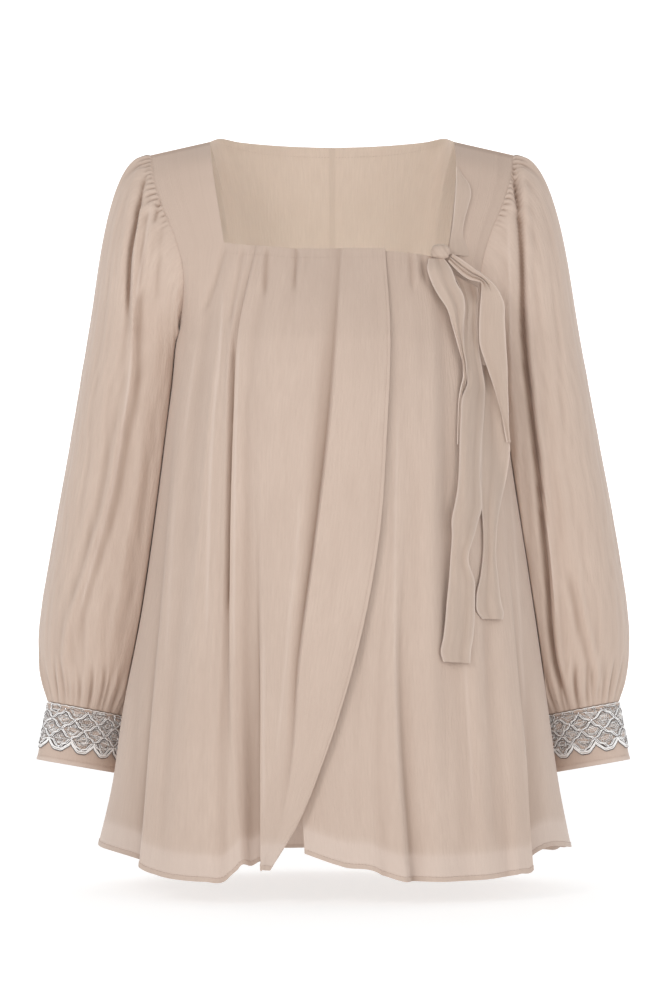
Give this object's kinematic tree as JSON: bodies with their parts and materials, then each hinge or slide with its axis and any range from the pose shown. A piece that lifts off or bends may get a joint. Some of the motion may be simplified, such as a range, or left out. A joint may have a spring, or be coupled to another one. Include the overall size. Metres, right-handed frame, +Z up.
{
  "type": "tie-neck blouse",
  "caption": "Loose square-neck blouse with a pleated wrap front, long gathered sleeves, lace cuffs and a bow tied at one corner of the neck.",
  "frame": {"origin": "midway between the two shoulder points of the neck, on the line where the shoulders carry the blouse", "axes": "+Z up, the front faces -Y, +X is the wearer's left"},
  "size_m": [0.6124, 0.369, 0.7426],
  "materials": {
    "chiffon": "crinkled chiffon, matt",
    "cuff_cloth": "plain weave, matt",
    "tie_cloth": "crinkled chiffon, matt",
    "silver_lace": "silver metallic embroidery"
  },
  "bodies": {
    "root": {"front_right": "chiffon", "front_left": "chiffon", "back_right": "chiffon", "back_left": "chiffon", "sleeve_right": "chiffon", "sleeve_left": "chiffon", "cuff_right": "cuff_cloth", "cuff_left": "cuff_cloth", "lace_right_front": "silver_lace", "lace_right_back": "silver_lace", "lace_left_front": "silver_lace", "lace_left_back": "silver_lace", "tie_loop_left": "tie_cloth", "tie_loop_right": "tie_cloth", "tie_tail_long": "tie_cloth", "tie_tail_short": "tie_cloth", "tie_strap": "tie_cloth", "tie_knot": "tie_cloth"}
  },
  "joints": []
}
